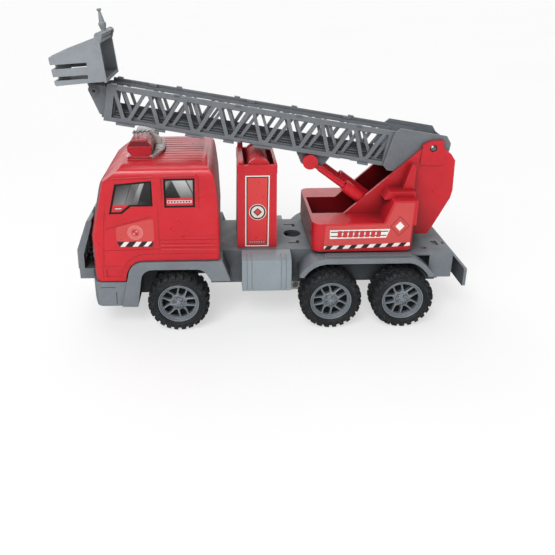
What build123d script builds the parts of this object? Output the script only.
from build123d import *
import os
from math import atan2, cos, degrees, hypot, radians, sin

os.makedirs("parts", exist_ok=True)

# Toy ladder fire engine, in millimetres.  Cab towards -X, rear towards +X, +Y is the engine's
# right-hand side, +Z up.  Origin: centre of the outline box, on the ground.
# Unless noted, x positions below are measured rearwards from the front axle.

# ------------------------------------------------------------------ driving dimensions
FRONT_AXLE_X = -67.58       # X of the front axle in the engine's frame
MID_AXLE = 116.3
REAR_AXLE = 171.0
TYRE_R = 23.5
AXLE_Z = TYRE_R
AXLE_R = 1.5
RIM_R = 16.4

WALL = 2.2                  # moulded wall of the frame and the turret
BOX_Z = 30                  # underside of the centre box
BOX_HALF = 30.45            # half width of the centre box
BOX_CENTRE, BOX_LENGTH = 89, 230
DECK_Z = 57.1               # top of the deck
DECK_THICK = 2.5
DECK_HALF = 40.0
DECK_REAR = 210.7
FENDER_HALF = 50.0
CAB_HALF = 48.0
ROOF_Z = 131.0
TOWER_HALF = 26.0

TURRET_X = 147.0            # turret's turning axis
TURRET_Z = 59.3             # underside of the turret
TURRET_HALF = 40.5
TUB_FRONT, TUB_REAR = 102.5, 180.0
TUB_LENGTH = TUB_REAR - TUB_FRONT
TUB_CENTRE = (TUB_FRONT + TUB_REAR) / 2
WELL_HALF = 18.0            # half width between the turret's side walls
WALL_OUT = WELL_HALF + WALL

LADDER_PIVOT = (193.8, 134.0)       # x, height
LADDER_DEG = 10.4                   # ladder's slope at rest
LADDER_FRONT = 247.0                # length of the ladder ahead of its pivot
LADDER_HALF = 15.6
LADDER_BASE_HALF = 17.5
TRUSS_PITCH = 26.0
BASKET_HALF = 25.0

# fits
RUN_GAP = 0.08              # radial clearance round an axle or a pin
PIN_R = 1.49                # pins and pivot screws
PIN_HOLE_R = 1.5 + RUN_GAP
PEG_R, SOCKET_R = 1.5, 1.55
SHANK_R, PILOT_R = 0.98, 1.0        # small screws and the holes they bite into

# places shared by several pieces: (x, y)
CAB_POSTS = [(8, 36), (8, -36)]
TOWER_POSTS = [(61.3, 14), (61.3, -14)]
BODY_POSTS = CAB_POSTS + TOWER_POSTS
COVER_POSTS = [(-16, 0), (36, 20), (36, -20), (144, 20), (144, -20), (199, 0)]
TURRET_POSTS = [(110, 31), (110, -31), (171, 31), (171, -31)]
GUARD_PEGS = [(-77.6, -20), (-77.6, 20)]
TAIL_PEGS = [(DECK_REAR, -20), (DECK_REAR, 20)]
TAIL_PEG_Z = 40.5

# places in side view: (x, height)
TOOLBOX_FRONT, TOOLBOX_LENGTH = 48.8, 37.6
TOOLBOX_PEG = (TOOLBOX_FRONT + TOOLBOX_LENGTH / 2, 45)
CYLINDER_PIN = (161.42, 78.96)
CANNON_BAR = (-49.8, 219.6)

UP, DOWN = (0, 0, 1), (0, 0, -1)
REARWARD, FORWARD = (1, 0, 0), (-1, 0, 0)
HANDS = {-1: "left", 1: "right"}
LADDER_COS, LADDER_SIN = cos(radians(LADDER_DEG)), sin(radians(LADDER_DEG))


# ------------------------------------------------------------------ planes
def side(y):
    """Side-view plane: local x rearwards, local y height, extruding towards -Y."""
    return Plane(origin=(FRONT_AXLE_X, y, 0), x_dir=(1, 0, 0), z_dir=(0, -1, 0))


def side_band(sign, inner, outer):
    """Side-view plane from which extruding outer - inner fills |Y| inner..outer on one side."""
    return side(outer if sign > 0 else -inner)


def top(z):
    """Plan plane at height z: local x rearwards, local y is Y."""
    return Plane(origin=(FRONT_AXLE_X, 0, z), x_dir=(1, 0, 0), z_dir=UP)


def front(x):
    """Cross-section plane: local x is Y, local y is height, extruding rearwards."""
    return Plane(origin=(FRONT_AXLE_X + x, 0, 0), x_dir=(0, 1, 0), z_dir=REARWARD)


def planes_at(points, z, direction=UP):
    """One plane per (x, y) point at height z, facing the given way."""
    return [Plane(origin=(FRONT_AXLE_X + x, y, z), z_dir=direction) for x, y in points]


def ladder_point(along, above):
    """Side-view (x, height) of a point given forward along and above the ladder's pivot line."""
    return (
        LADDER_PIVOT[0] - along * LADDER_COS + above * LADDER_SIN,
        LADDER_PIVOT[1] + along * LADDER_SIN + above * LADDER_COS,
    )


def ladder_side(y):
    """Plane at Y = y: local x forward along the ladder from its pivot, local y up from it."""
    x, z = ladder_point(0, 0)
    return Plane(
        origin=(FRONT_AXLE_X + x, y, z), x_dir=(-LADDER_COS, 0, LADDER_SIN), z_dir=(0, 1, 0)
    )


def ladder_band(sign, inner, outer):
    """Ladder plane from which extruding outer - inner fills |Y| inner..outer on one side."""
    return ladder_side(inner if sign > 0 else -outer)


def ladder_plan(above):
    """Plane parallel to the ladder's top: local x runs forward."""
    x, z = ladder_point(0, above)
    return Plane(
        origin=(FRONT_AXLE_X + x, 0, z),
        x_dir=(-LADDER_COS, 0, LADDER_SIN),
        z_dir=(LADDER_SIN, 0, LADDER_COS),
    )


# ------------------------------------------------------------------ shapes for the open sketch
def outline(points, mode=Mode.ADD):
    Polygon(*points, align=None, mode=mode)


def circles(radius, *centres, mode=Mode.ADD):
    with Locations(*centres):
        Circle(radius, mode=mode)


def rectangles(length, width, *centres, mode=Mode.ADD):
    with Locations(*centres):
        Rectangle(length, width, mode=mode)


def bar(start, end, width):
    """Straight bar between two points."""
    dx, dy = end[0] - start[0], end[1] - start[1]
    length = hypot(dx, dy)
    nx, ny = -dy / length * width / 2, dx / length * width / 2
    outline([
        (start[0] + nx, start[1] + ny), (end[0] + nx, end[1] + ny),
        (end[0] - nx, end[1] - ny), (start[0] - nx, start[1] - ny),
    ])


def bowed_lines(side_x, middle_x, half, back_x):
    """Closed plan lines: an arc across one end, straight sides and a straight other end."""
    ThreePointArc((side_x, -half), (middle_x, 0), (side_x, half))
    Polyline((side_x, half), (back_x, half), (back_x, -half), (side_x, -half))


# ------------------------------------------------------------------ pieces made more than once
def save(builder, name):
    part = builder.part
    part.label = name
    export_step(part, f"parts/{name}.step")


def upright_screws(name, places, head_z, head_r, head_height, shank_r, shank_length):
    """Screws driven upwards, head at the bottom."""
    with BuildPart() as piece:
        with BuildSketch(top(head_z)):
            circles(head_r, *places)
        extrude(amount=head_height)
        with BuildSketch(top(head_z + head_height)):
            circles(shank_r, *places)
        extrude(amount=shank_length)
    save(piece, name)


def cross_pin(name, centre, radius, half_length):
    """Plain round pin lying across the engine."""
    with BuildPart() as piece:
        with BuildSketch(side(half_length)):
            circles(radius, centre)
        extrude(amount=2 * half_length)
    save(piece, name)


# ================================================================== chassis group
# side outlines: (x, height)
FRONT_FENDER = [
    (-43.6, 19.6), (-38.6, 41.0), (-35.0, 57.2), (34, 57.2), (40, 40.6), (25.5, 40.4),
    (19.5, 50.6), (-26.5, 50.8), (-31.6, 19.2),
]
REAR_FENDER = [
    (92.2, 42.6), (93.0, 45.0), (95.2, 48.2), (97.9, 50.9), (100.2, 52.9), (102.7, 54.6),
    (106.9, 56.5), (111.5, 57.4), (176.5, 57.4), (180.6, 55.8), (184.2, 53.6), (187.4, 50.9),
    (190.4, 47.8), (194.3, 43.4), (195.6, 41.6), (190.6, 41.2), (188.1, 44.8), (185.3, 47.9),
    (182.4, 50.4), (179.2, 52.2), (175.0, 53.2), (112.5, 53.2), (107.8, 52.3), (103.2, 50.2),
    (99.3, 47.0), (96.6, 43.6), (95.6, 41.9),
]
FENDER_STRIP = [(111.0, 56.6), (113.0, 58.6), (175.4, 58.6), (178.4, 56.0)]
# arch of the front wheel well, from its rear foot over to the front
WELL_ARCH = [
    (24.2, 32.5), (20.6, 37.5), (17.0, 42.0), (12.5, 47.0), (6.0, 50.2), (-12.0, 50.2),
    (-18.0, 46.0),
]
# outer face of the well's lining, from front to rear
WELL_BACK = [
    (-18.0, 30.0), (-20.2, 30.0), (-20.2, 47.2), (-12.9, 52.4), (6.6, 52.4), (14.0, 48.7),
    (18.8, 43.3), (22.5, 38.7), (26.4, 33.2), (26.7, 30.0),
]
SPINE_WALL = [(-18.0, 30.0), (26.5, 30.0), (26.5, 56.0), (-18.0, 56.0)]
BUMPER_SIDE_PLATE = [(-34.0, 21.0), (-18.0, 21.0), (-18.0, 50.0), (-34.0, 40.0)]


def chassis_frame():
    box_height = DECK_Z - BOX_Z
    bumper_z, bumper_height = 20, 20.3
    bumper_half = 49
    tail_z, tail_length = 36, 17.7
    tail_centre = (DECK_REAR - tail_length / 2, 0)
    deck_length = 104.7
    shelf_z = 32
    fender_in = BOX_HALF - 1
    spine_half = 12
    socket_depth = 6            # deck holes and slots
    recess_depth = 1.2

    with BuildPart() as piece:
        # centre box under the deck
        with BuildSketch(top(BOX_Z)):
            rectangles(BOX_LENGTH, 2 * BOX_HALF, (BOX_CENTRE, 0))
        extrude(amount=box_height)
        # tie from the box forward to the bumper
        with BuildSketch(top(BOX_Z)):
            rectangles(12, 2 * BOX_HALF, (-30, 0))
        extrude(amount=bumper_z + bumper_height - BOX_Z)
        # wide rear deck
        with BuildSketch(top(DECK_Z - DECK_THICK)):
            rectangles(deck_length, 2 * DECK_HALF, (DECK_REAR - deck_length / 2, 0))
        extrude(amount=DECK_THICK)
        # tail block
        with BuildSketch(top(tail_z)):
            rectangles(tail_length, 2 * DECK_HALF, tail_centre)
        extrude(amount=DECK_Z - tail_z)
        # bumper with a bowed front
        with BuildSketch(top(bumper_z)) as bumper:
            with BuildLine():
                bowed_lines(-61.8, -71.6, bumper_half, -33)
            make_face()
            fillet(bumper.vertices().group_by(Axis.X)[0], 6)
        extrude(amount=bumper_height)
        # bumper shelf that carries the brush guard
        with BuildSketch(top(shelf_z)):
            rectangles(16, 52, (-72, 0))
        extrude(amount=9)

        for sign in (-1, 1):
            # front fender with its leg ahead of the wheel
            with BuildSketch(side_band(sign, fender_in, FENDER_HALF)) as fender:
                outline(FRONT_FENDER)
                fillet(fender.vertices().filter_by(lambda v: v.Y > 56 and v.X < 0), 12)
                fillet(fender.vertices().filter_by(lambda v: 49 < v.Y < 52), 9)
            extrude(amount=FENDER_HALF - fender_in)
            # rear fender over both rear wheels
            with BuildSketch(side_band(sign, fender_in, FENDER_HALF)):
                outline(REAR_FENDER)
            extrude(amount=FENDER_HALF - fender_in)
            # raised strip on top of the rear fender
            with BuildSketch(side_band(sign, 41.5, 47.5)):
                outline(FENDER_STRIP)
            extrude(amount=6.0)

        # hollow undersides of box, tail, bumper and shelf
        with BuildSketch(top(BOX_Z)):
            rectangles(BOX_LENGTH - 2 * WALL, 2 * (BOX_HALF - WALL), (BOX_CENTRE, 0))
        extrude(amount=box_height - DECK_THICK, mode=Mode.SUBTRACT)
        with BuildSketch(top(tail_z)):
            rectangles(tail_length - 2 * WALL, 2 * (DECK_HALF - WALL), tail_centre)
        extrude(amount=DECK_Z - tail_z - DECK_THICK, mode=Mode.SUBTRACT)
        with BuildSketch(top(bumper_z)):
            rectangles(26.6, 86, (-48.5, 0))
        extrude(amount=18, mode=Mode.SUBTRACT)
        with BuildSketch(top(shelf_z)):
            rectangles(12.6, 48, (-71.5, 0))
        extrude(amount=4.5, mode=Mode.SUBTRACT)

        # bearing ring the turret slides on, and the hole for its hub
        with BuildSketch(top(DECK_Z)):
            circles(26, (TURRET_X, 0))
            circles(22, (TURRET_X, 0), mode=Mode.SUBTRACT)
        extrude(amount=TURRET_Z - 0.2 - DECK_Z)
        with Locations(*planes_at([(TURRET_X, 0)], DECK_Z)):
            Hole(radius=8.0, depth=socket_depth)
        # accessory socket and its two bent slots ahead of the turret
        with Locations(*planes_at([(91.5, 0)], DECK_Z)):
            Hole(radius=7.0, depth=socket_depth)
        with BuildSketch(top(DECK_Z)):
            for sign in (-1, 1):
                rectangles(9.0, 1.4, (91.0, sign * 18.5))
                rectangles(2.4, 4.2, (94.3, sign * 16.4))
        extrude(amount=-socket_depth, mode=Mode.SUBTRACT)
        # small moulding recesses in the rear corners
        with Locations(*planes_at([(190.0, 31.5), (190.0, -31.5)], DECK_Z)):
            Hole(radius=2.7, depth=recess_depth)
        with BuildSketch(top(DECK_Z)):
            for sign in (-1, 1):
                rectangles(4.4, 8.0, (201.6, sign * 23.0))
                rectangles(1.6, 4.0, (208.0, sign * 23.0))
        extrude(amount=-recess_depth, mode=Mode.SUBTRACT)

        # posts the underside cover is screwed to
        with BuildSketch(top(BOX_Z)):
            circles(3.2, *COVER_POSTS)
        extrude(amount=box_height - 1)
        with Locations(*planes_at(COVER_POSTS, BOX_Z, DOWN)):
            Hole(radius=PILOT_R, depth=12)
        # holes and head seats for the screws that hold the cab and the tower down
        for radius, depth in ((1.3, 15), (2.8, 9.6)):
            with BuildSketch(top(45)):
                circles(radius, *BODY_POSTS)
            extrude(amount=depth, mode=Mode.SUBTRACT)

        # the box narrows to a spine over the front axle, so the wheel wells run in under the deck
        for sign in (-1, 1):
            with BuildSketch(side_band(sign, spine_half, BOX_HALF + 0.5)):
                outline([(-18.0, 29.0), (24.5, 29.0)] + WELL_ARCH)
            extrude(amount=BOX_HALF + 0.5 - spine_half, mode=Mode.SUBTRACT)
            with BuildSketch(side_band(sign, spine_half - WALL, spine_half)):
                outline(SPINE_WALL)
            extrude(amount=WALL)
            with BuildSketch(side_band(sign, spine_half - 2, BOX_HALF - 0.5)):
                outline([(24.5, 30.0)] + WELL_ARCH + WELL_BACK)
            extrude(amount=BOX_HALF - 0.5 - (spine_half - 2))
            # side plates between the bumper and the front wheels
            with BuildSketch(side_band(sign, BOX_HALF - WALL, BOX_HALF)):
                outline(BUMPER_SIDE_PLATE)
            extrude(amount=WALL)

        # rest for the top of the friction motor
        with BuildSketch(top(49.05)):
            rectangles(26, 22, (102, 0))
            circles(7.6, (91.5, 0), mode=Mode.SUBTRACT)
        extrude(amount=6)
        # peg holes for the tool boxes
        with BuildSketch(side(32)):
            circles(SOCKET_R, TOOLBOX_PEG)
        extrude(amount=64, mode=Mode.SUBTRACT)
        # sockets for the guard's pegs and the tail board's pegs
        with Locations(*planes_at(GUARD_PEGS, 41)):
            Hole(radius=SOCKET_R, depth=4.5)
        with Locations(*planes_at(TAIL_PEGS, TAIL_PEG_Z, REARWARD)):
            Hole(radius=SOCKET_R, depth=2.4)
        # bumper style lines
        line_depth = 0.5
        for sign in (-1, 1):
            with BuildSketch(side_band(sign, bumper_half - line_depth, bumper_half)):
                rectangles(18, 0.8, (-57, 36.0))
                rectangles(0.8, 10, (-47.5, 27.0))
            extrude(amount=line_depth, mode=Mode.SUBTRACT)
    save(piece, "chassis_frame")


COVER_Z = 27.6


def underside_cover():
    thick = 2.2
    # axle position, |Y| of the inner and outer face of its two bearings
    bearings = [(0, 6, 12), (MID_AXLE, 24, 30), (REAR_AXLE, 24, 30)]
    with BuildPart() as piece:
        with BuildSketch(top(COVER_Z)):
            rectangles(233, 56, (86.5, 0))
            # opening for the friction motor
            rectangles(47.0, 26.4, (105.7, 0), mode=Mode.SUBTRACT)
            # cut back to the spine over the front axle
            rectangles(42.5, 20, (3.25, 22), (3.25, -22), mode=Mode.SUBTRACT)
        extrude(amount=thick)
        for x, inner, outer in bearings:
            for sign in (1, -1):
                with BuildSketch(side_band(sign, inner, outer)):
                    outline([(x - 5, 29.8), (x - 4, 19.6), (x + 4, 19.6), (x + 5, 29.8)])
                    circles(AXLE_R + RUN_GAP, (x, AXLE_Z), mode=Mode.SUBTRACT)
                extrude(amount=outer - inner)
        with Locations(*planes_at(COVER_POSTS, COVER_Z, DOWN)):
            CounterBoreHole(
                radius=1.5, counter_bore_radius=2.9, counter_bore_depth=1.0, depth=4
            )
    save(piece, "underside_cover")


# side outlines: (x, height)
GUARD = [
    (-70.9, 81.6), (-80.2, 57.4), (-80.6, 41.0), (-75.6, 41.0), (-75.4, 53.0), (-67.4, 78.0),
    (-66.6, 82.4),
]
GUARD_MIDDLE = [(-73.6, 71.0), (-67.9, 86.6), (-66.0, 87.0), (-65.8, 85.4), (-68.6, 74.0)]


def front_guard():
    half = 26
    middle_half = 9
    slot_pitch = 8.8
    with BuildPart() as piece:
        with BuildSketch(side(half)) as guard:
            outline(GUARD)
            fillet(guard.vertices().filter_by(lambda v: v.Y > 80), 1.2)
        extrude(amount=2 * half)
        # raised middle that reaches up to the windscreen
        with BuildSketch(side(middle_half)):
            outline(GUARD_MIDDLE)
        extrude(amount=2 * middle_half)
        # vertical slots between the bars
        with BuildSketch(front(-84)):
            for k in range(-2, 3):
                with Locations((k * slot_pitch, 61)):
                    SlotOverall(30, 5.0, rotation=90)
        extrude(amount=24, mode=Mode.SUBTRACT)
        with Locations(*planes_at(GUARD_PEGS, 41.0, DOWN)):
            Cylinder(PEG_R, 4.0, align=(Align.CENTER, Align.CENTER, Align.MIN))
    save(piece, "front_guard")


def tail_board():
    stand_off = 8
    with BuildPart() as piece:
        with BuildSketch(front(DECK_REAR + stand_off)) as board:
            rectangles(90, 15, (0, 37.7))
            fillet(board.vertices(), 1.2)
        extrude(amount=2.3)
        with BuildSketch(front(DECK_REAR)):
            rectangles(5, 5, *[(y, TAIL_PEG_Z) for _, y in TAIL_PEGS])
        extrude(amount=stand_off)
        with Locations(*planes_at(TAIL_PEGS, TAIL_PEG_Z, FORWARD)):
            Cylinder(PEG_R, 2.1, align=(Align.CENTER, Align.CENTER, Align.MIN))
    save(piece, "tail_board")


# tool box cross-sections: (|Y|, height)
TOOLBOX_IN_Y = 30.65        # face against the frame
TOOLBOX_OUTER = [
    (TOOLBOX_IN_Y, 57.1), (39.4, 57.1), (45.2, 54.6), (47.3, 46.6), (47.3, 30.2),
    (TOOLBOX_IN_Y, 30.2),
]
TOOLBOX_ROOM = [(38.9, 55.3), (43.7, 53.3), (45.5, 46.3), (45.5, 32.0)]
# region outside the strap lines' floor
TOOLBOX_SKIN = [
    (38.0, 56.7), (39.3, 56.7), (44.85, 54.3), (46.9, 46.5), (46.9, 29.0), (49, 29.0),
    (49, 58.5), (38.0, 58.5),
]


def toolbox(sign):
    skin = 1.8
    web = 4.0
    peg_x, peg_z = TOOLBOX_PEG

    def handed(points):
        return [(sign * y, z) for y, z in points]

    with BuildPart() as piece:
        with BuildSketch(front(TOOLBOX_FRONT)):
            outline(handed(TOOLBOX_OUTER))
        extrude(amount=TOOLBOX_LENGTH)
        with BuildSketch(front(TOOLBOX_FRONT + skin)):
            outline(handed([(30.0, 55.3)] + TOOLBOX_ROOM + [(30.0, 32.0)]))
        extrude(amount=TOOLBOX_LENGTH - 2 * skin, mode=Mode.SUBTRACT)
        # web with the peg that locates the box on the frame
        with BuildSketch(front(peg_x - web / 2)):
            outline(handed(TOOLBOX_ROOM + [(TOOLBOX_IN_Y, 32.0), (TOOLBOX_IN_Y, 55.3)]))
        extrude(amount=web)
        with Locations(*planes_at([(peg_x, sign * 31.5)], peg_z, (0, -sign, 0))):
            Cylinder(PEG_R, 3.1, align=(Align.CENTER, Align.CENTER, Align.MIN))
        # moulded strap lines near both ends
        for x in (52.4, 56.0, 78.4, 82.0):
            with BuildSketch(front(x)):
                outline(handed(TOOLBOX_SKIN))
            extrude(amount=0.8, mode=Mode.SUBTRACT)
    save(piece, f"toolbox_{HANDS[sign]}")


# ================================================================== cab
FRONT_RAKE = 0.234          # rearward lean of the cab front per millimetre of height
CROWN_SLOPE = 0.722         # climb of the slope above the windscreen per millimetre rearwards

# centre-line profile, front then roof then rear: (x, height)
CAB_PROFILE = [
    (-39.4, 41.0), (-69.6, 41.0), (-70.2, 46.0), (-69.6, 58.0), (-68.9, 69.3), (-67.4, 70.0),
    (-64.8, 85.6), (-61.2, 102.6), (-58.6, 109.5), (-55.2, 116.5), (-51.6, 122.4),
    (-47.4, 127.0), (-42.6, 129.8), (-36.0, ROOF_Z), (19.0, ROOF_Z), (24.4, 129.6),
    (28.2, 125.0), (29.4, 119.0), (31.2, 104.0), (32.6, 75.0), (31.8, 57.7), (-26.4, 57.7),
    (-31.2, 56.4), (-35.3, 53.2), (-38.0, 48.6), (-39.3, 43.5),
]
CAB_PROFILE_IN = [
    (-41.4, 40.0), (-67.6, 40.0), (-68.0, 46.0), (-67.5, 57.5), (-66.9, 67.6), (-65.4, 69.0),
    (-62.8, 85.2), (-59.3, 102.1), (-56.7, 108.8), (-53.4, 115.6), (-50.0, 121.1),
    (-46.2, 125.3), (-42.0, 127.8), (-36.0, 129.0), (18.6, 129.0), (23.2, 127.9),
    (26.3, 124.2), (27.4, 118.8), (29.2, 103.9), (30.6, 75.0), (29.9, 56.5), (-26.4, 56.5),
    (-26.4, 59.7), (-32.2, 58.2), (-37.1, 54.3), (-39.9, 49.2), (-41.2, 43.5),
]
# half cross-sections, bottom to top: (Y, height)
CAB_SECTION = [
    (48.0, 40), (48.0, 92.0), (47.4, 122.0), (46.9, 126.3), (45.2, 128.6), (41.5, 130.2),
    (35.0, ROOF_Z),
]
CAB_SECTION_IN = [
    (46.0, 39), (46.0, 92.0), (45.4, 121.6), (44.9, 125.3), (43.8, 126.9), (40.8, 128.3),
    (34.7, 129.0),
]
DOOR_WINDOW = [
    (-42.8, 118.6), (-16.0, 120.8), (-15.9, 101.2), (-32.0, 101.2), (-38.6, 95.6), (-48.4, 95.6),
]
REAR_WINDOW = [(-7.6, 122.3), (15.2, 122.3), (14.8, 100.0), (-7.6, 100.0)]
# door and panel lines: start, end, width
SEAMS = [
    ((-12.5, 66.0), (-12.4, 124.5), 0.7), ((-52.0, 94.0), (-55.2, 54.0), 0.7),
    ((-55.0, 66.6), (-12.6, 67.4), 0.6), ((-51.4, 84.0), (-18.0, 93.6), 0.6),
    ((-47.2, 124.0), (-12.4, 124.6), 0.6), ((-51.8, 94.0), (-47.2, 124.0), 0.6),
    ((-12.2, 74.6), (29.6, 74.6), 0.7), ((-12.2, 71.4), (29.6, 71.4), 0.7),
    ((-12.2, 68.4), (29.6, 68.4), 0.6), ((-24.0, 63.2), (30.0, 63.2), 0.5),
    ((-24.0, 63.2), (-31.5, 61.4), 0.5), ((-31.5, 61.4), (-37.6, 56.8), 0.5),
    ((-37.6, 56.8), (-41.4, 50.2), 0.5), ((-41.4, 50.2), (-43.0, 43.4), 0.5),
    ((-62.0, 53.6), (-42.2, 53.6), 0.6), ((-56.0, 52.6), (-56.0, 43.4), 1.0),
]
SILL_STEP = [(-54.0, 50.4), (-43.0, 50.4), (-42.2, 44.2), (-54.0, 44.2)]
ROOF_SLOPE_RIB = [
    (-53.6, 122.2), (-48.8, 128.6), (-43.2, 131.4), (-40.0, 132.2), (-39.6, 129.8),
    (-42.3, 128.9), (-46.9, 126.3), (-50.9, 122.0),
]


def cab_solid(half, profile, section, bow, rear_x, corners, rake, rake_corner, crown):
    """Solid bounded by the cab's surfaces.

    bow: x of the plan's front at the sides and in the middle; corners: its front and rear radii.
    rake: x of the leaning front at the sides and in the middle, at rake_z.
    crown: height of the sloping top's cut at the sides and in the middle, at its front plane.
    """
    rake_base, rake_z = 30, 70
    lean = (rake_z - rake_base) * FRONT_RAKE
    crown_half = 49
    with BuildPart() as solid:
        with BuildSketch(side(half)):
            outline(profile)
        extrude(amount=2 * half)
        with BuildSketch(top(38)) as plan:
            with BuildLine():
                bowed_lines(bow[0], bow[1], half, rear_x)
            make_face()
            fillet(plan.vertices().group_by(Axis.X)[0], corners[0])
            fillet(plan.vertices().group_by(Axis.X)[-1], corners[1])
        extrude(amount=100, mode=Mode.INTERSECT)
        with BuildSketch(front(-80)):
            outline(section + [(-y, z) for y, z in reversed(section)])
        extrude(amount=120, mode=Mode.INTERSECT)
        # the bowed front leans back as one raked sheet, corners included
        with BuildSketch(top(rake_base)) as raked:
            with BuildLine():
                bowed_lines(rake[0] - lean, rake[1] - lean, half, 60.0)
            make_face()
            fillet(raked.vertices().group_by(Axis.X)[0], rake_corner)
        extrude(amount=105, dir=(FRONT_RAKE, 0, 1), mode=Mode.INTERSECT)
        # the slope above the windscreen is crowned from side to side
        with BuildSketch(front(-75)):
            with BuildLine():
                ThreePointArc((-crown_half, crown[0]), (0, crown[1]), (crown_half, crown[0]))
                Polyline(
                    (crown_half, crown[0]), (crown_half, -60),
                    (-crown_half, -60), (-crown_half, crown[0]),
                )
            make_face()
        extrude(amount=145, dir=(1, 0, CROWN_SLOPE), mode=Mode.INTERSECT)
    return solid.part


def cab_shell():
    outer = cab_solid(
        CAB_HALF, CAB_PROFILE, CAB_SECTION, bow=(-60.8, -70.2), rear_x=33.0,
        corners=(7, 4), rake=(-62.4, -69.9), rake_corner=4.5, crown=(103.0, 105.5),
    )
    core = cab_solid(
        CAB_HALF - 2, CAB_PROFILE_IN, CAB_SECTION_IN, bow=(-59.4, -68.2), rear_x=31.0,
        corners=(5, 2), rake=(-60.4, -67.9), rake_corner=3.5, crown=(100.6, 103.1),
    )
    with BuildPart() as piece:
        add(outer)
        add(core, mode=Mode.SUBTRACT)
        for sign in (-1, 1):
            # shallow recesses the window stickers sit in
            with BuildSketch(side_band(sign, CAB_HALF - 0.9, CAB_HALF + 0.4)):
                outline(DOOR_WINDOW)
                outline(REAR_WINDOW)
            extrude(amount=1.3, mode=Mode.SUBTRACT)
            # door and panel lines
            with BuildSketch(side_band(sign, CAB_HALF - 0.4, CAB_HALF + 0.2)):
                for start, end, width in SEAMS:
                    bar(start, end, width)
            extrude(amount=0.6, mode=Mode.SUBTRACT)
            # stepped sill ahead of the wheel
            with BuildSketch(side_band(sign, CAB_HALF - 0.8, CAB_HALF + 0.2)):
                outline(SILL_STEP)
            extrude(amount=1.0, mode=Mode.SUBTRACT)
            # row of short grip grooves above the long rear ones
            with BuildSketch(side_band(sign, CAB_HALF - 0.3, CAB_HALF + 0.4)):
                rectangles(3.2, 1.2, *[(0.6 + 4.6 * k, 77.6) for k in range(7)])
            extrude(amount=0.7, mode=Mode.SUBTRACT)
        # long grooves on the roof
        with BuildSketch(top(ROOF_Z - 0.6)):
            for k in range(11):
                with Locations((5.0, -32.5 + 6.5 * k)):
                    SlotOverall(36, 1.5)
        extrude(amount=2, mode=Mode.SUBTRACT)
        # grooves pressed into the slope above the windscreen
        groove = 1.6
        for k in range(9):
            with BuildSketch(side(-28.0 + 7.0 * k + groove / 2)):
                outline(ROOF_SLOPE_RIB)
            extrude(amount=groove, mode=Mode.SUBTRACT)
        # seat for the beacon bar
        with BuildSketch(top(ROOF_Z - 0.3)):
            rectangles(12, 40, (-26.5, 0))
        extrude(amount=1.0, mode=Mode.SUBTRACT)
        # screw posts inside the shell
        with BuildSketch(top(58.2)):
            circles(3, *CAB_POSTS)
        extrude(amount=71.5)
        with BuildSketch(top(58.0)):
            circles(PILOT_R, *CAB_POSTS)
        extrude(amount=9, mode=Mode.SUBTRACT)
    save(piece, "cab_shell")


# ------------------------------------------------------------------ beacon bar
# side outlines: (x, height)
BEACON_BLOCK = [
    (-34.4, 133.0), (-35.4, 137.6), (-32.6, 144.4), (-19.4, 144.9), (-12.4, 139.6),
    (-11.6, 133.0),
]
LENS = [
    (-32.2, 133.65), (-35.0, 137.0), (-35.0, 140.6), (-32.0, 145.2), (-20.6, 145.4),
    (-17.0, 141.2), (-16.6, 137.0), (-18.4, 133.65),
]
LENS_HOLLOW = [
    (-32.0, 133.0), (-33.7, 137.2), (-33.7, 140.2), (-31.2, 143.9), (-21.2, 144.1),
    (-18.3, 140.8), (-18.0, 137.2), (-18.9, 133.0),
]
BEACON_BLOCK_HALF = 3.0


def beacon_base():
    with BuildPart() as piece:
        with BuildSketch(top(ROOF_Z)) as plate:
            with BuildLine():
                bowed_lines(-17.2, -10.6, 27.6, -35.8)
            make_face()
            fillet(plate.vertices(), 2)
        extrude(amount=2.6)
        # foot that sits in the roof recess
        with BuildSketch(top(ROOF_Z - 0.3)):
            rectangles(11.6, 39.6, (-26.5, 0))
        extrude(amount=0.5)
        # centre block between the two lenses, with a row of small recesses in its top edge
        with BuildSketch(side(BEACON_BLOCK_HALF)) as block:
            outline(BEACON_BLOCK)
            fillet(block.vertices().filter_by(lambda v: v.Y > 136), 1.0)
        extrude(amount=2 * BEACON_BLOCK_HALF)
        with BuildSketch(top(145.2)):
            rectangles(1.7, 1.8, *[(-30.6 + 3.2 * k, -2.0) for k in range(4)])
        extrude(amount=-1.6, mode=Mode.SUBTRACT)
    save(piece, "beacon_base")


def beacon_lens(sign):
    inner = BEACON_BLOCK_HALF + 0.15
    width = 23.4
    hollow_width = 22.0
    with BuildPart() as piece:
        with BuildSketch(side_band(sign, inner, inner + width)):
            outline(LENS)
        extrude(amount=width)
        # swept-back outer corner
        with BuildSketch(top(133)):
            with BuildLine():
                bowed_lines(-17.6, -11.0, 27.2, -37)
            make_face()
        extrude(amount=14, mode=Mode.INTERSECT)
        # hollow, open towards the centre block and below
        hollow_in = BEACON_BLOCK_HALF
        with BuildSketch(side_band(sign, hollow_in, hollow_in + hollow_width)):
            outline(LENS_HOLLOW)
        extrude(amount=hollow_width, mode=Mode.SUBTRACT)
    save(piece, f"beacon_lens_{HANDS[sign]}")


# ------------------------------------------------------------------ equipment tower
# side outlines: (x, height)
TOWER = [(45.9, 57.2), (76.6, 57.2), (76.0, 124.5), (46.8, 124.5)]
HOSE_RAMP = [(50.0, 112.0), (50.0, 127.0), (51.0, 127.0), (55.8, 112.0)]
TRAY_LUG = [(47.0, 124.0), (47.6, 130.6), (51.4, 130.6), (52.0, 124.0)]
TRAY_FRONT = [(47.0, 124.4), (47.0, 126.2), (50.6, 126.2), (50.6, 112), (49.0, 112)]


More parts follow.
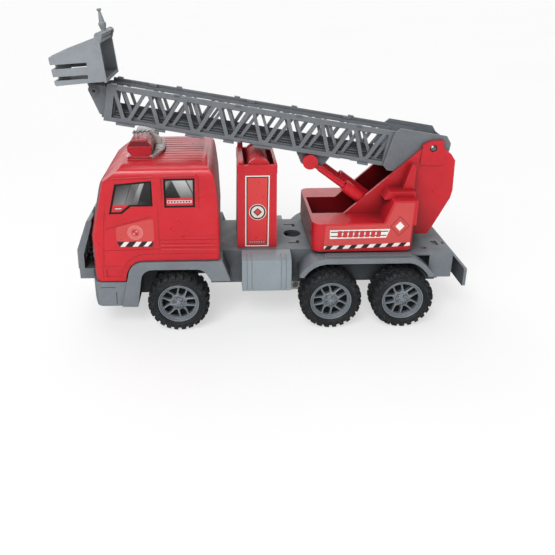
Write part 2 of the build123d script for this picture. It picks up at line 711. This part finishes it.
def equipment_tower():
    foot_z = 57.2
    middle = (61.3, 0)
    tray_half = 23.5
    reel_half = 20.5
    cheek_in = 20.3
    recess_in, recess_out = TOWER_HALF - 0.3, TOWER_HALF + 0.5
    with BuildPart() as piece:
        with BuildSketch(side(TOWER_HALF)):
            outline(TOWER)
        extrude(amount=2 * TOWER_HALF)
        # cap band, slightly proud
        with BuildSketch(top(118.0)) as cap:
            rectangles(30.0, 2 * TOWER_HALF + 0.8, (61.35, 0))
            fillet(cap.vertices(), 1.0)
        extrude(amount=6.5)
        # hollow from below
        with BuildSketch(top(foot_z)):
            rectangles(26.4, 2 * TOWER_HALF - 4, middle)
        extrude(amount=50, mode=Mode.SUBTRACT)
        # tray in the top that holds the hose reel
        with BuildSketch(top(112.0)):
            rectangles(23.0, 2 * tray_half, (62.6, 0))
        extrude(amount=14, mode=Mode.SUBTRACT)
        # hose reel and its cheeks, moulded with the tower
        with BuildSketch(side(reel_half)):
            circles(8.2, (62.5, 119.4))
        extrude(amount=2 * reel_half)
        for sign in (1, -1):
            with BuildSketch(side_band(sign, cheek_in, tray_half)):
                circles(9.4, (62.5, 119.8))
                rectangles(18.8, 8, (62.5, 115))
            extrude(amount=tray_half - cheek_in)
        # hose guide: ramp, small lug and front wall of the tray
        with BuildSketch(side(-18.5)):
            outline(HOSE_RAMP)
        extrude(amount=3)
        with BuildSketch(side(tray_half)):
            outline(TRAY_LUG)
        extrude(amount=4)
        with BuildSketch(side(tray_half)):
            outline(TRAY_FRONT)
        extrude(amount=2 * tray_half)
        # sticker panel recess on both sides
        for sign in (1, -1):
            with BuildSketch(side_band(sign, recess_in, recess_out)):
                rectangles(19.6, 59.8, (61.3, 87.0))
            extrude(amount=recess_out - recess_in, mode=Mode.SUBTRACT)
        # stiffening web and screw posts inside
        with BuildSketch(top(foot_z)):
            rectangles(26.6, 2.0, middle)
            circles(3, *TOWER_POSTS)
        extrude(amount=50.5)
        with BuildSketch(top(57.0)):
            circles(PILOT_R, *TOWER_POSTS)
        extrude(amount=9, mode=Mode.SUBTRACT)
    save(piece, "equipment_tower")


# ================================================================== wheels
# name, axle position, angle of the first spoke opening
WHEEL_SETS = [("front", 0.0, 8.0), ("mid", MID_AXLE, 30.0), ("rear", REAR_AXLE, 52.0)]
# (radius, |Y|), inner bead round the tread to the outer bead
TYRE_SECTION = [
    (16.4, 36.3), (16.0, 35.9), (16.4, 35.5), (20.6, 35.3), (22.6, 36.2), (23.2, 37.8),
    (TYRE_R, 40.5), (TYRE_R, 49.6), (23.2, 52.3), (22.6, 53.9), (20.6, 54.8), (16.6, 54.6),
    (16.0, 54.1), (16.4, 53.7),
]


def tyre(name, axle_x, sign):
    centre = (FRONT_AXLE_X + axle_x, 0, AXLE_Z)
    with BuildPart() as piece:
        with BuildSketch(Plane(origin=centre, x_dir=(1, 0, 0), z_dir=UP)):
            outline([(radius, sign * y) for radius, y in TYRE_SECTION])
        revolve(axis=Axis(centre, (0, 1, 0)))
    save(piece, f"tyre_{name}_{HANDS[sign]}")


def rim(name, axle_x, phase, sign):
    centre = (FRONT_AXLE_X + axle_x, 0, AXLE_Z)
    wheel = Plane(origin=centre, x_dir=(1, 0, 0), z_dir=(0, sign, 0))
    spokes = 5
    hub_in = 38.0
    cap_in, cap_height = 51.0, 1.6
    with BuildPart() as piece:
        # barrel
        with BuildSketch(wheel.offset(36.4)):
            Circle(RIM_R - 0.02)
            Circle(RIM_R - 1.9, mode=Mode.SUBTRACT)
        extrude(amount=17.2)
        # lip
        with BuildSketch(wheel.offset(51.6)):
            Circle(RIM_R - 0.5)
            Circle(13.2, mode=Mode.SUBTRACT)
        extrude(amount=2.3)
        # spoked face
        with BuildSketch(wheel.offset(47.6)):
            Circle(RIM_R - 1.0)
            with PolarLocations(0, spokes, start_angle=phase):
                with Locations((9.6, 0)):
                    Trapezoid(7.6, 6.0, 105, rotation=90, mode=Mode.SUBTRACT)
            with PolarLocations(0, spokes, start_angle=phase + 180 / spokes):
                with Locations((10.6, 0)):
                    Triangle(c=3.6, B=62, C=62, rotation=90, mode=Mode.SUBTRACT)
        extrude(amount=3.6)
        # hub, and its cap with small dimples
        with BuildSketch(wheel.offset(hub_in)):
            Circle(3.6)
        extrude(amount=14.6)
        with BuildSketch(wheel.offset(cap_in)):
            Circle(4.6)
        extrude(amount=cap_height)
        with BuildSketch(wheel.offset(cap_in + cap_height)):
            with PolarLocations(2.9, spokes, start_angle=phase):
                Circle(0.6)
        extrude(amount=-1.0, mode=Mode.SUBTRACT)
        # blind bore for the axle
        with BuildSketch(wheel.offset(hub_in)):
            Circle(AXLE_R)
        extrude(amount=12.0, mode=Mode.SUBTRACT)
    save(piece, f"rim_{name}_{HANDS[sign]}")


# ================================================================== friction motor, mid axle
# gear centres in side view: (x, height)
GEAR_AXLE = (MID_AXLE, AXLE_Z)
GEAR_IDLER = (MID_AXLE - 10.6, AXLE_Z + 7.17)
GEAR_FLYWHEEL = (GEAR_IDLER[0] - 11.2, GEAR_IDLER[1] + 6.2)
# half_root and half_tip are half the tooth's thickness along the arc
LARGE_GEAR = dict(teeth=24, root_r=8.7, tip_r=10.25, half_root=0.72, half_tip=0.29)
PINION = dict(teeth=8, root_r=2.35, tip_r=3.85, half_root=0.58, half_tip=0.25)

MOTOR_HALF = 13.0
MOTOR_BOX = [
    (82.4, 24.0), (90.0, 11.8), (129.0, 11.8), (129.0, 40.0), (120.0, 49.0), (82.4, 49.0),
]
MOTOR_ROOM = [
    (84.0, 24.5), (90.9, 13.2), (127.4, 13.2), (127.4, 39.4), (119.4, 47.4), (84.0, 47.4),
]
MOTOR_SCREWS = [(126.0, 14.2), (85.2, 46.6), (93.6, 16.2)]
MOTOR_SHAFT_R = 1.0
IDLER_BORE_R = 1.06


def direction_deg(start, end):
    return degrees(atan2(end[1] - start[1], end[0] - start[0]))


AXLE_TO_IDLER = direction_deg(GEAR_AXLE, GEAR_IDLER)
IDLER_TO_FLYWHEEL = direction_deg(GEAR_IDLER, GEAR_FLYWHEEL)
HALF_TOOTH_DEG = 180 / LARGE_GEAR["teeth"]


def gear(centre, first_deg, teeth, root_r, tip_r, half_root, half_tip):
    """Straight-cut gear outline; first_deg is the direction of one tooth's middle."""
    root_angle, tip_angle = half_root / root_r, half_tip / tip_r
    corners = (
        (root_r, -root_angle), (tip_r, -tip_angle), (tip_r, tip_angle), (root_r, root_angle)
    )
    points = []
    for k in range(teeth):
        middle = radians(first_deg + 360.0 * k / teeth)
        for radius, turn in corners:
            points.append((
                centre[0] + radius * cos(middle + turn), centre[1] + radius * sin(middle + turn)
            ))
    outline(points)


def motor_housing(sign):
    room_half = 11.4
    post_half = 12.0
    boss_in = 9.4
    # band that cuts right through this half of the housing
    through_in, through_out = -1.0, MOTOR_HALF + 1
    with BuildPart() as piece:
        with BuildSketch(side_band(sign, 0.0, MOTOR_HALF)):
            outline(MOTOR_BOX)
        extrude(amount=MOTOR_HALF)
        with BuildSketch(side_band(sign, 0.0, room_half)):
            outline(MOTOR_ROOM)
        extrude(amount=room_half, mode=Mode.SUBTRACT)
        # closing-screw posts
        with BuildSketch(side_band(sign, 0.0, post_half)):
            circles(2.4, *MOTOR_SCREWS)
        extrude(amount=post_half)
        # bearings: through for the axle, blind for the two shafts
        with BuildSketch(side_band(sign, through_in, through_out)):
            circles(AXLE_R + RUN_GAP, GEAR_AXLE)
        extrude(amount=through_out - through_in, mode=Mode.SUBTRACT)
        for centre, bore_r in ((GEAR_IDLER, MOTOR_SHAFT_R), (GEAR_FLYWHEEL, 1.06)):
            with BuildSketch(side_band(sign, boss_in, room_half)):
                circles(2.6, centre)
            extrude(amount=room_half - boss_in)
            with BuildSketch(side_band(sign, boss_in - 0.1, room_half + 1)):
                circles(bore_r, centre)
            extrude(amount=3.1, mode=Mode.SUBTRACT)
        # the screws bite on the right and pass freely on the left
        with BuildSketch(side_band(sign, through_in, through_out)):
            circles(0.98 if sign > 0 else 1.2, *MOTOR_SCREWS)
        extrude(amount=through_out - through_in, mode=Mode.SUBTRACT)
    save(piece, f"motor_housing_{HANDS[sign]}")


def motor_screws():
    with BuildPart() as piece:
        with BuildSketch(side(-MOTOR_HALF)):
            circles(2.0, *MOTOR_SCREWS)
        extrude(amount=1.3)
        with BuildSketch(side(9.0)):
            circles(0.96, *MOTOR_SCREWS)
        extrude(amount=22.0)
    save(piece, "motor_screws")


def motor_axle_gear():
    with BuildPart() as piece:
        with BuildSketch(side(5.0)):
            gear(GEAR_AXLE, AXLE_TO_IDLER + HALF_TOOTH_DEG, **LARGE_GEAR)
        extrude(amount=3.0)
        with BuildSketch(side(7.0)):
            circles(3.2, GEAR_AXLE)
        extrude(amount=7.0)
        with BuildSketch(side(8.0)):
            circles(AXLE_R, GEAR_AXLE)
        extrude(amount=10.0, mode=Mode.SUBTRACT)
    save(piece, "motor_axle_gear")


def motor_idler_gear():
    with BuildPart() as piece:
        with BuildSketch(side(-0.8)):
            gear(GEAR_IDLER, IDLER_TO_FLYWHEEL + HALF_TOOTH_DEG, **LARGE_GEAR)
        extrude(amount=2.7)
        with BuildSketch(side(5.6)):
            gear(GEAR_IDLER, AXLE_TO_IDLER + 180, **PINION)
        extrude(amount=6.5)
        with BuildSketch(side(6.0)):
            circles(IDLER_BORE_R, GEAR_IDLER)
        extrude(amount=11.0, mode=Mode.SUBTRACT)
    save(piece, "motor_idler_gear")


def motor_flywheel():
    shaft_half = 11.8
    with BuildPart() as piece:
        with BuildSketch(side(-5.0)):
            circles(9.4, GEAR_FLYWHEEL)
        extrude(amount=4.0)
        fillet(piece.edges().filter_by(GeomType.CIRCLE), 0.5)
        with BuildSketch(side(-0.4)):
            gear(GEAR_FLYWHEEL, IDLER_TO_FLYWHEEL + 180, **PINION)
        extrude(amount=4.8)
        with BuildSketch(side(shaft_half)):
            circles(MOTOR_SHAFT_R, GEAR_FLYWHEEL)
        extrude(amount=2 * shaft_half)
    save(piece, "motor_flywheel")


# ================================================================== turret
# side outlines: (x, height)
TURRET_WALL = [
    (126.5, 79.0), (129.4, 82.2), (185.8, 134.1), (185.6, 136.6), (191.4, 139.6),
    (201.5, 139.8), (201.9, 134.2), (208.0, 129.2), (211.5, 124.1), (212.2, 100.4),
    (211.1, 94.2), (199.7, 70.7), (196.2, 64.0), (178.0, 63.5), (126.5, 63.5),
]
TURRET_BACK = [
    (210.4, 124.0), (211.5, 124.1), (212.2, 100.4), (211.1, 94.2), (199.7, 70.7), (196.2, 64.0),
    (178, 63.5), (178.0, 65.6), (195.0, 65.9), (197.9, 71.5), (209.1, 94.7), (210.1, 100.6),
    (209.4, 124.0),
]
STEP_BOX = [(155.0, 80.0), (162.2, 99.6), (180.0, 99.6), (180.0, 80.0)]
UPPER_STEP = [(156.8, 98.0), (160.6, 104.0), (180.0, 104.0), (180.0, 98.0)]
STEP_HOLLOW = [(159.0, 79.0), (164.4, 97.6), (177.8, 97.6), (177.8, 79.0)]
BUTTRESS = [(171.2, 103.5), (177.0, 123.2), (178.4, 123.6), (180.0, 121.6), (180.0, 103.5)]
PIVOT_PAD = [
    (184.8, 121.0), (185.9, 136.3), (191.5, 139.3), (201.2, 139.5), (201.5, 133.7),
    (202.4, 121.0),
]


def turret_body():
    post_z = 61.4
    pocket_out = TURRET_HALF - WALL
    pocket_y = (WALL_OUT + pocket_out) / 2
    step_in = 20.0
    cross_pin_half = 19.3
    with BuildPart() as piece:
        # tub
        with BuildSketch(top(TURRET_Z)):
            with Locations((TUB_CENTRE, 0)):
                RectangleRounded(TUB_LENGTH, 2 * TURRET_HALF, 7)
        extrude(amount=82.0 - TURRET_Z)
        # open the centre well, the underside and the closed side pockets
        with BuildSketch(top(66.0)):
            rectangles(76.6, 2 * WELL_HALF, (143.0, 0))
        extrude(amount=20, mode=Mode.SUBTRACT)
        with BuildSketch(top(TURRET_Z)):
            with Locations((TUB_CENTRE, 0)):
                RectangleRounded(TUB_LENGTH - 2 * WALL, 2 * pocket_out, 3)
        extrude(amount=63.5 - TURRET_Z, mode=Mode.SUBTRACT)
        with BuildSketch(top(63.4)):
            rectangles(
                TUB_LENGTH - 2 * WALL, pocket_out - WALL_OUT,
                (TUB_CENTRE, pocket_y), (TUB_CENTRE, -pocket_y),
            )
        extrude(amount=16.6, mode=Mode.SUBTRACT)
        for sign in (-1, 1):
            # tall side wall
            with BuildSketch(side_band(sign, WELL_HALF, WALL_OUT)):
                outline(TURRET_WALL)
            extrude(amount=WALL)
            # step box, hollow from below
            with BuildSketch(side_band(sign, step_in, TURRET_HALF)) as step:
                outline(STEP_BOX)
                fillet(step.vertices().group_by(Axis.Y)[-1].sort_by(Axis.X)[0], 2)
            extrude(amount=TURRET_HALF - step_in)
            with BuildSketch(side_band(sign, step_in, 32.5)):
                outline(UPPER_STEP)
            extrude(amount=32.5 - step_in)
            with BuildSketch(side_band(sign, 20.3, 38.4)):
                outline(STEP_HOLLOW)
            extrude(amount=18.1, mode=Mode.SUBTRACT)
            # buttress on top of the step
            with BuildSketch(side_band(sign, step_in, 27.5)):
                outline(BUTTRESS)
            extrude(amount=27.5 - step_in)
            # thicker pad around the ladder pivot
            with BuildSketch(side_band(sign, 20.1, 21.0)):
                outline(PIVOT_PAD)
            extrude(amount=0.9)
        # curved-up back and floor between the side walls
        back_half = WELL_HALF + 0.2
        with BuildSketch(side(back_half)):
            outline(TURRET_BACK)
        extrude(amount=2 * back_half)
        # posts for the base plate's screws, front pair and rear pair
        for pair, height in ((TURRET_POSTS[:2], 19.4), (TURRET_POSTS[2:], 36.8)):
            with BuildSketch(top(post_z)):
                circles(3.0, *pair)
            extrude(amount=height)
        with Locations(*planes_at(TURRET_POSTS, post_z, DOWN)):
            Hole(radius=PILOT_R, depth=10)
        # ladder pivot holes with recessed screw seats, and blind holes for the cylinders' pin
        for sign in (-1, 1):
            for radius, inner in ((PIN_HOLE_R, 17), (2.7, 19.4)):
                with BuildSketch(side_band(sign, inner, 22)):
                    circles(radius, LADDER_PIVOT)
                extrude(amount=22 - inner, mode=Mode.SUBTRACT)
        with BuildSketch(side(cross_pin_half)):
            circles(1.5, CYLINDER_PIN)
        extrude(amount=2 * cross_pin_half, mode=Mode.SUBTRACT)
    save(piece, "turret_body")


HUB_Z = 54.4                # lower end of the turret's hub
WASHER_THICK = 1.8
WASHER_Z = HUB_Z - WASHER_THICK


def turret_base():
    edge = 2.4              # plate's edge, inside the tub's outer face
    with BuildPart() as piece:
        with BuildSketch(top(TURRET_Z)):
            with Locations((TUB_CENTRE, 0)):
                RectangleRounded(TUB_LENGTH - 2 * edge, 2 * (TURRET_HALF - edge), 2.8)
        extrude(amount=2.0)
        # hub that passes down through the deck
        with BuildSketch(top(HUB_Z)):
            circles(7.92, (TURRET_X, 0))
        extrude(amount=5.5)
        with Locations(*planes_at([(TURRET_X, 0)], HUB_Z, DOWN)):
            Hole(radius=1.5, depth=7)
        with Locations(*planes_at(TURRET_POSTS, TURRET_Z, DOWN)):
            CounterBoreHole(
                radius=1.3, counter_bore_radius=2.6, counter_bore_depth=1.1, depth=3
            )
    save(piece, "turret_base")


def turret_washer():
    with BuildPart() as piece:
        with BuildSketch(top(WASHER_Z)):
            circles(11, (TURRET_X, 0))
            circles(1.6, (TURRET_X, 0), mode=Mode.SUBTRACT)
        extrude(amount=WASHER_THICK)
    save(piece, "turret_washer")


# ================================================================== ladder
# ladder side places and outlines: (forward along the ladder, above the pivot line)
LOCK_PEG = (22.3, -7.4)
ROD_PIVOT = (88.2, -27.05)
HINGE = (256.2, -0.4)
BASE_PLATE = [
    (-8.9, 10.1), (26.7, 10.1), (30.9, 5.3), (33.1, -19.7), (29.1, -23.4), (18.0, -22.6),
    (-6.0, -10.5), (-12.6, -4.6), (-13.6, 0.0), (-13.3, 5.1),
]
BASE_LOWER_WEB = [(29.1, -23.4), (18.0, -22.6), (18.0, -21.2), (29.6, -21.6)]
BASE_REAR_WEB = [(-13.55, 0.2), (-13.3, 5.1), (-11.9, 6.4), (-11.4, 5.4), (-11.7, 0.0)]
ROD_LUG = [
    (72.3, -20.0), (100.5, -20.0), (94.2, -30.2), (88.0, -33.2), (81.8, -31.6), (75.6, -27.4),
]
NOSE_PLATE = [(240.0, -18.8), (250.6, -17.2), (261.0, -0.6), (260.2, 4.2), (240.0, 4.2)]


def box_outline(start, low, end, high, mode=Mode.ADD):
    """Upright rectangle given by its two opposite corners."""
    outline([(start, low), (end, low), (end, high), (start, high)], mode)


def ladder_base():
    plate = 1.4
    web_half = LADDER_BASE_HALF - 1
    boss_in, boss_out = 12.4, 16.3
    with BuildPart() as piece:
        for sign in (-1, 1):
            with BuildSketch(ladder_band(sign, LADDER_BASE_HALF - plate, LADDER_BASE_HALF)):
                outline(BASE_PLATE)
                circles(1.5, (0, 0), mode=Mode.SUBTRACT)
                circles(2.0, LOCK_PEG, mode=Mode.SUBTRACT)
            extrude(amount=plate)
        # webs that join the two plates
        for web in (BASE_LOWER_WEB, BASE_REAR_WEB):
            with BuildSketch(ladder_side(-web_half)):
                outline(web)
            extrude(amount=2 * web_half)
        # bosses the pivot screws bite into
        for sign in (-1, 1):
            with BuildSketch(ladder_band(sign, boss_in, boss_out)):
                Circle(3.4)
                Circle(1.5, mode=Mode.SUBTRACT)
            extrude(amount=boss_out - boss_in)
    save(piece, "ladder_base")


def ladder_pivot_screws():
    with BuildPart() as piece:
        # radius, |Y| of the inner and outer end: shanks, then heads
        for radius, inner, outer in ((PIN_R, 12.6, 20.7), (2.3, 19.5, 20.8)):
            for sign in (-1, 1):
                with BuildSketch(ladder_band(sign, inner, outer)):
                    Circle(radius)
                extrude(amount=outer - inner)
    save(piece, "ladder_pivot_screws")


def outer_ladder():
    rail = 2.0
    rear = 5
    bottom, top_edge = -20.8, 6.8
    tie = 1.4
    lower_nodes = [48.5 + TRUSS_PITCH * k for k in range(8)]
    upper_nodes = [node + TRUSS_PITCH / 2 for node in lower_nodes[:-1]]
    ledge_in, ledge_out = 11.0, LADDER_HALF - rail + 0.1
    peg_out = 17.3
    with BuildPart() as piece:
        for sign in (-1, 1):
            with BuildSketch(ladder_band(sign, LADDER_HALF - rail, LADDER_HALF)):
                # lower and upper rail, front upright, solid rear panel
                box_outline(rear, bottom, LADDER_FRONT, -17.6)
                box_outline(rear, 3.1, LADDER_FRONT, top_edge)
                box_outline(LADDER_FRONT - 5.6, bottom, LADDER_FRONT, top_edge)
                box_outline(rear, bottom, 34, top_edge)
                # truss
                for node in lower_nodes:
                    bar((node - 2.0, -17.4), (node - 11.2, 3.6), 2.7)
                    bar((node + 2.0, -17.4), (node + 11.2, 3.6), 2.7)
                    rectangles(5.4, 2.0, (node, -17.3))
                for node in upper_nodes:
                    rectangles(5.6, 1.8, (node, 3.2))
                # gaps in the lower lip
                for start, end in ((58.5, 66.4), (135.0, 143.6), (213.3, 222.0)):
                    box_outline(start, -21.5, end, -19.6, mode=Mode.SUBTRACT)
            extrude(amount=rail)
            # peg that locks the ladder in its base plates
            with BuildSketch(ladder_band(sign, LADDER_HALF - 0.1, peg_out)):
                circles(1.95, LOCK_PEG)
            extrude(amount=1.8)
        # ledges the sliding ladder runs on, and clips over its top rails
        for sign in (-1, 1):
            with BuildSketch(ladder_band(sign, ledge_in, ledge_out)):
                box_outline(10, bottom, LADDER_FRONT, bottom + tie)
            extrude(amount=ledge_out - ledge_in)
            with BuildSketch(ladder_band(sign, ledge_in, ledge_out)):
                for clip in (62.0, 139.0, 216.0):
                    box_outline(clip - 3, 4.95, clip + 3, top_edge)
            extrude(amount=ledge_out - ledge_in)
        # cross ties in the floor
        with BuildSketch(ladder_plan(bottom)):
            rectangles(4.0, 26, *[(node, 0) for node in lower_nodes])
            rectangles(5.0, 26, (244.5, 0), (12.5, 0), (88, 0))
        extrude(amount=tie)
        # lugs that carry the cylinder rods, and the floor between them
        for sign in (-1, 1):
            with BuildSketch(ladder_band(sign, 8.6, 10.9)):
                outline(ROD_LUG)
                circles(2.07, ROD_PIVOT, mode=Mode.SUBTRACT)
            extrude(amount=2.3)
        with BuildSketch(ladder_plan(bottom)):
            rectangles(28.2, 22.2, (86.4, 0))
        extrude(amount=tie)
    save(piece, "outer_ladder")


def inner_ladder():
    half, rail = 13.2, 2.0
    rear, tip = 26, 249
    bottom, top_edge = -19.0, 4.6
    nose_in, nose_out = 10.6, 12.4
    with BuildPart() as piece:
        for sign in (-1, 1):
            with BuildSketch(ladder_band(sign, half - rail, half)):
                # lower and upper rail, front and rear upright
                box_outline(rear, bottom, tip, -16.4)
                box_outline(rear, 2.2, tip, top_edge)
                box_outline(244.6, bottom, tip, top_edge)
                box_outline(rear, bottom, 30, top_edge)
                # truss
                for k in range(8):
                    node = 41.5 + TRUSS_PITCH * k
                    bar((node - 1.6, -16.8), (node - 11.4, 2.8), 2.2)
                    bar((node + 1.6, -16.8), (node + 11.4, 2.8), 2.2)
                    rectangles(4.6, 1.6, (node, -16.4))
            extrude(amount=rail)
        # rungs
        with BuildSketch(ladder_plan(-18.9)):
            rectangles(2.0, 23, *[(33.0 + TRUSS_PITCH / 2 * k, 0) for k in range(17)])
        extrude(amount=1.9)
        # nose plates with the basket hinge boss
        for sign in (-1, 1):
            with BuildSketch(ladder_band(sign, nose_in, nose_out)):
                outline(NOSE_PLATE)
                circles(PIN_HOLE_R, HINGE, mode=Mode.SUBTRACT)
            extrude(amount=nose_out - nose_in)
            with BuildSketch(ladder_band(sign, nose_out - 0.1, half)):
                circles(3.6, HINGE)
                circles(PIN_HOLE_R, HINGE, mode=Mode.SUBTRACT)
            extrude(amount=0.9)
    save(piece, "inner_ladder")


# ================================================================== turret-to-ladder cylinders
ROD_END = ladder_point(*ROD_PIVOT)
CYLINDER_DEG = 142.7953     # slope of both axes at rest
CYLINDER_Y = 13.2


def cylinder_plane(start, y, distance, way):
    """Plane across a cylinder's axis; way is 1 towards the ladder, -1 towards the turret."""
    dx, dz = way * cos(radians(CYLINDER_DEG)), way * sin(radians(CYLINDER_DEG))
    return Plane(
        origin=(FRONT_AXLE_X + start[0] + distance * dx, y, start[1] + distance * dz),
        x_dir=(0, 1, 0),
        z_dir=(dx, 0, dz),
    )


def cylinder_barrel(sign):
    y = sign * CYLINDER_Y
    eye_half = 3.6
    with BuildPart() as piece:
        with BuildSketch(cylinder_plane(CYLINDER_PIN, y, 2.0, way=1)):
            Circle(4.7)
        extrude(amount=38.0)
        # eye round the cross pin
        with BuildSketch(side(y + eye_half)):
            circles(4.4, CYLINDER_PIN)
        extrude(amount=2 * eye_half)
        # bore for the rod
        with BuildSketch(cylinder_plane(CYLINDER_PIN, y, 6.2, way=1)):
            Circle(3.12)
        extrude(amount=35.0, mode=Mode.SUBTRACT)
        with BuildSketch(side(y + 4)):
            circles(PIN_HOLE_R, CYLINDER_PIN)
        extrude(amount=8, mode=Mode.SUBTRACT)
    save(piece, f"cylinder_barrel_{HANDS[sign]}")


def cylinder_rod(sign):
    y = sign * CYLINDER_Y
    with BuildPart() as piece:
        # round end and the stub that turns in the ladder's lug: radius, |Y| inner and outer
        for radius, inner, outer in ((5.75, 11.2, 17.0), (2.0, 7.8, 11.3)):
            with BuildSketch(side_band(sign, inner, outer)):
                circles(radius, ROD_END)
            extrude(amount=outer - inner)
        # square neck, then the round rod
        with BuildSketch(cylinder_plane(ROD_END, y, 3.0, way=-1)):
            Rectangle(3.4, 3.6)
        extrude(amount=7.0)
        with BuildSketch(cylinder_plane(ROD_END, y, 9.4, way=-1)):
            Circle(2.4)
        extrude(amount=56.6)
    save(piece, f"cylinder_rod_{HANDS[sign]}")


# ================================================================== rescue basket, water cannon
HINGE_SIDE = ladder_point(*HINGE)
# side outlines: (x, height)
BASKET = [(-86.0, 205.7), (-54.0, 217.0), (-49.5, 216.5), (-46.4, 188.5), (-83.0, 185.5)]
BASKET_LIP = [(-50.9, 217.6), (-49.3, 217.5), (-46.0, 187.8), (-47.6, 187.6)]
BASKET_ROOM = [(-84.0, 204.3), (-53.6, 215.1), (-45.0, 214.6), (-42.0, 190.6), (-81.2, 187.3)]
CANNON_EAR = [(-54.0, 215.5), (-52.4, 219.4), (-47.2, 219.4), (-48.6, 214.5)]
HINGE_BRACKET = [
    (-64.5, 187.6), (-61.6, 178.2), (-58.3, 176.4), (-55.0, 178.2), (-52.5, 188.6),
]
# (radius, distance along the nozzle's axis)
NOZZLE = [
    (0, 0), (2.2, 0), (1.9, 2.6), (2.8, 6.2), (2.8, 7.4), (2.1, 8.0), (0.9, 15.6), (1.7, 16.4),
    (1.7, 17.4), (0, 17.8),
]


def basket():
    lip_half = BASKET_HALF + 0.8
    room_half = BASKET_HALF - 1.8
    rib_half = BASKET_HALF - 1.2
    slot_in, slot_out = BASKET_HALF - 12, BASKET_HALF + 1
    slot_rise = 1.6
    trough_half = 22.7
    with BuildPart() as piece:
        with BuildSketch(side(BASKET_HALF)) as shell:
            outline(BASKET)
            fillet(shell.vertices().sort_by(Axis.X)[0:2], 1.5)
        extrude(amount=2 * BASKET_HALF)
        # mouth lip
        with BuildSketch(side(lip_half)):
            outline(BASKET_LIP)
        extrude(amount=2 * lip_half)
        with BuildSketch(side(room_half)):
            outline(BASKET_ROOM)
        extrude(amount=2 * room_half, mode=Mode.SUBTRACT)
        # two open slots that wrap from each side round the closed end
        for low, high in ((197.1, 200.2), (188.9, 191.7)):
            for sign in (1, -1):
                with BuildSketch(side_band(sign, slot_in, slot_out)):
                    outline([
                        (-88.0, low), (-88.0, high),
                        (-59.4, high + slot_rise), (-59.2, low + slot_rise),
                    ])
                extrude(amount=slot_out - slot_in, mode=Mode.SUBTRACT)
        # fine ribs across the sloping face
        for k in range(14):
            fraction = (k + 0.7) / 14.6
            x, z = -85.0 + 31.0 * fraction, 205.95 + 10.95 * fraction
            with BuildSketch(side(rib_half)):
                outline([
                    (x - 0.5, z - 0.3), (x + 0.5, z + 0.05),
                    (x + 0.25, z + 0.55), (x - 0.45, z + 0.3),
                ])
            extrude(amount=2 * rib_half)
        # ears that hold the cannon's cross bar
        for sign in (1, -1):
            with BuildSketch(side_band(sign, 22.8, 25.4)):
                outline(CANNON_EAR)
                circles(2.7, CANNON_BAR)
                circles(PIN_HOLE_R, CANNON_BAR, mode=Mode.SUBTRACT)
            extrude(amount=2.6)
        # trough the cannon's cross bar turns in
        with BuildSketch(side(trough_half)):
            circles(3.0, CANNON_BAR)
        extrude(amount=2 * trough_half, mode=Mode.SUBTRACT)
        # hinge brackets under the floor
        for sign in (1, -1):
            with BuildSketch(side_band(sign, 8.0, 9.8)):
                outline(HINGE_BRACKET)
                circles(1.5, HINGE_SIDE, mode=Mode.SUBTRACT)
            extrude(amount=1.8)
    save(piece, "basket")


def basket_hinge_pin():
    half = 13.5
    head_in, head_out = 13.3, 14.5
    with BuildPart() as piece:
        with BuildSketch(side(half)):
            circles(PIN_R, HINGE_SIDE)
        extrude(amount=2 * half)
        for sign in (1, -1):
            with BuildSketch(side_band(sign, head_in, head_out)):
                circles(2.4, HINGE_SIDE)
            extrude(amount=head_out - head_in)
    save(piece, "basket_hinge_pin")


def water_cannon():
    tilt = radians(9.0)
    bar_half = 25.3
    flat_half = 22.5
    centre = (FRONT_AXLE_X + CANNON_BAR[0], 0, CANNON_BAR[1])
    with BuildPart() as piece:
        with BuildSketch(side(bar_half)):
            circles(PIN_R, CANNON_BAR)
        extrude(amount=2 * bar_half)
        # flat bar between the ears
        with BuildSketch(side(flat_half)):
            with Locations(CANNON_BAR):
                Rectangle(4.4, 3.0, rotation=60)
        extrude(amount=2 * flat_half)
        # nozzle turned about its own leaning axis
        with BuildSketch(Plane(origin=centre, x_dir=(cos(tilt), 0, sin(tilt)), z_dir=(0, -1, 0))):
            outline(NOZZLE)
        revolve(axis=Axis(centre, (-sin(tilt), 0, cos(tilt))))
    save(piece, "water_cannon")


# ================================================================== build everything
chassis_frame()
underside_cover()
upright_screws(
    "cover_screws", COVER_POSTS, head_z=COVER_Z - 0.9, head_r=2.6, head_height=1.9,
    shank_r=SHANK_R, shank_length=9,
)
front_guard()
tail_board()

cab_shell()
beacon_base()
for sign in (-1, 1):
    toolbox(sign)
    beacon_lens(sign)
equipment_tower()
upright_screws(
    "body_screws", BODY_POSTS, head_z=53.2, head_r=2.5, head_height=1.3,
    shank_r=SHANK_R, shank_length=9.0,
)

for name, axle_x, phase in WHEEL_SETS:
    for sign in (-1, 1):
        tyre(name, axle_x, sign)
        rim(name, axle_x, phase, sign)
    cross_pin(f"axle_{name}", (axle_x, AXLE_Z), AXLE_R, 50.0)

for sign in (-1, 1):
    motor_housing(sign)
motor_screws()
motor_axle_gear()
motor_idler_gear()
cross_pin("motor_idler_pin", GEAR_IDLER, MOTOR_SHAFT_R, 12.3)
motor_flywheel()

turret_body()
turret_base()
upright_screws(
    "turret_screws", TURRET_POSTS, head_z=TURRET_Z + 0.1, head_r=2.4, head_height=1.0,
    shank_r=SHANK_R, shank_length=8.0,
)
turret_washer()
upright_screws(
    "turret_pivot_screw", [(TURRET_X, 0)], head_z=WASHER_Z - 1.8, head_r=3.0, head_height=1.8,
    shank_r=1.48, shank_length=8.2,
)
cross_pin("cylinder_cross_pin", CYLINDER_PIN, PIN_R, 19.25)

ladder_base()
ladder_pivot_screws()
outer_ladder()
inner_ladder()
for sign in (-1, 1):
    cylinder_barrel(sign)
    cylinder_rod(sign)

basket()
basket_hinge_pin()
water_cannon()
